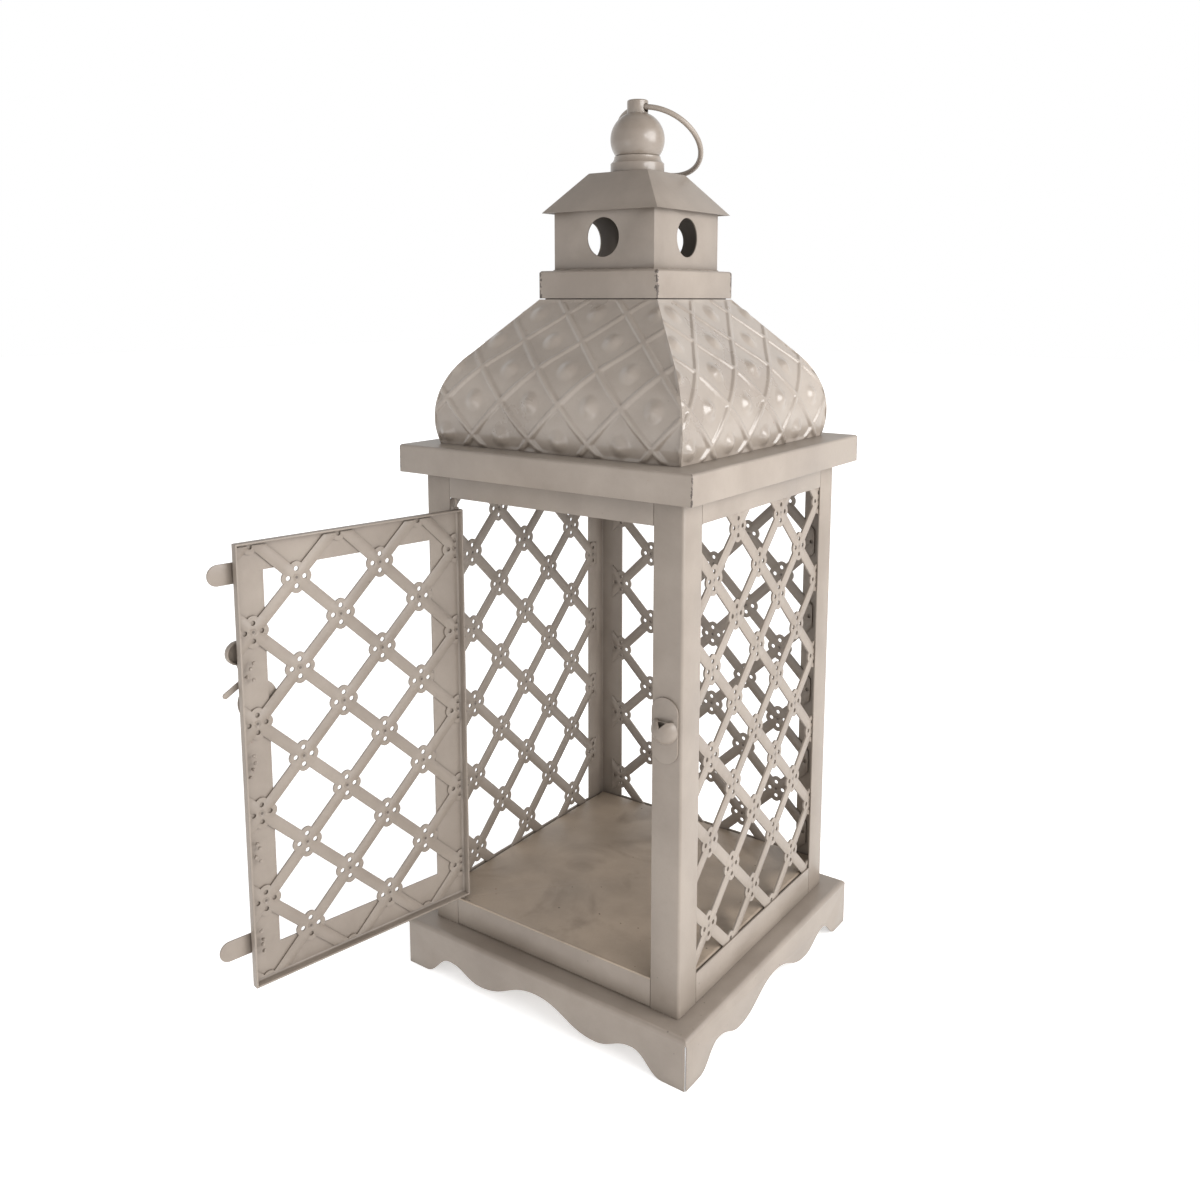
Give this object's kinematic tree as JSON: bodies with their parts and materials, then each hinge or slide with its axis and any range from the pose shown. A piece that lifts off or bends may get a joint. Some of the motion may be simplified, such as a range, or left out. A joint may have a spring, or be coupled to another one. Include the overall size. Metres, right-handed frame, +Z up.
{
  "type": "candle lantern",
  "caption": "Square sheet-steel candle lantern with pierced lattice windows, a hinged latching door, a curved hip dome, a vented tower, a ball finial and a hanging ring.",
  "frame": {"origin": "middle of the square footprint, on the surface that the lantern stands on", "axes": "+Z up, -Y out of the doorway, +X to the right when facing the doorway from outside"},
  "size_m": [0.155, 0.259, 0.4015],
  "materials": {
    "painted_steel": "satin warm grey paint"
  },
  "bodies": {
    "lantern": {"base_plinth": "painted_steel", "bottom_rail_back": "painted_steel", "bottom_rail_front": "painted_steel", "bottom_rail_left": "painted_steel", "bottom_rail_right": "painted_steel", "cap_plate": "painted_steel", "catch_plate": "painted_steel", "collar": "painted_steel", "corner_post_1": "painted_steel", "corner_post_2": "painted_steel", "corner_post_3": "painted_steel", "corner_post_4": "painted_steel", "dome_panel_back": "painted_steel", "dome_panel_front": "painted_steel", "dome_panel_left": "painted_steel", "dome_panel_right": "painted_steel", "finial_bulb": "painted_steel", "finial_collar": "painted_steel", "finial_neck": "painted_steel", "floor_tray": "painted_steel", "lattice_panel_back": "painted_steel", "lattice_panel_left": "painted_steel", "lattice_panel_right": "painted_steel", "top_rail_back": "painted_steel", "top_rail_front": "painted_steel", "top_rail_left": "painted_steel", "top_rail_right": "painted_steel", "tower_box": "painted_steel", "tower_roof": "painted_steel"},
    "door": {"door_frame": "painted_steel", "door_lattice": "painted_steel", "hinge_pin_upper": "painted_steel", "hinge_pin_lower": "painted_steel", "door_stop_upper": "painted_steel", "door_stop_lower": "painted_steel", "latch_escutcheon": "painted_steel", "latch_rivet": "painted_steel"},
    "latch": {"latch_lever": "painted_steel"},
    "ring": {"hanging_ring": "painted_steel"}
  },
  "joints": [
    {"name": "door_hinge", "type": "hinge", "parent": "lantern", "child": "door", "pos_m": [-0.0518, -0.0664, 0.13], "axis": [0, 0, 1], "range_deg": [0, 101]},
    {"name": "latch_turn", "type": "hinge", "parent": "door", "child": "latch", "pos_m": [-0.07198, -0.16078, 0.157], "axis": [0.9816, -0.1908, 0], "range_deg": [0, 43]},
    {"name": "ring_swing", "type": "hinge", "parent": "lantern", "child": "ring", "pos_m": [0, 0, 0.39792], "axis": [1, 0, 0], "range_deg": [-13.5, 277.5]}
  ]
}
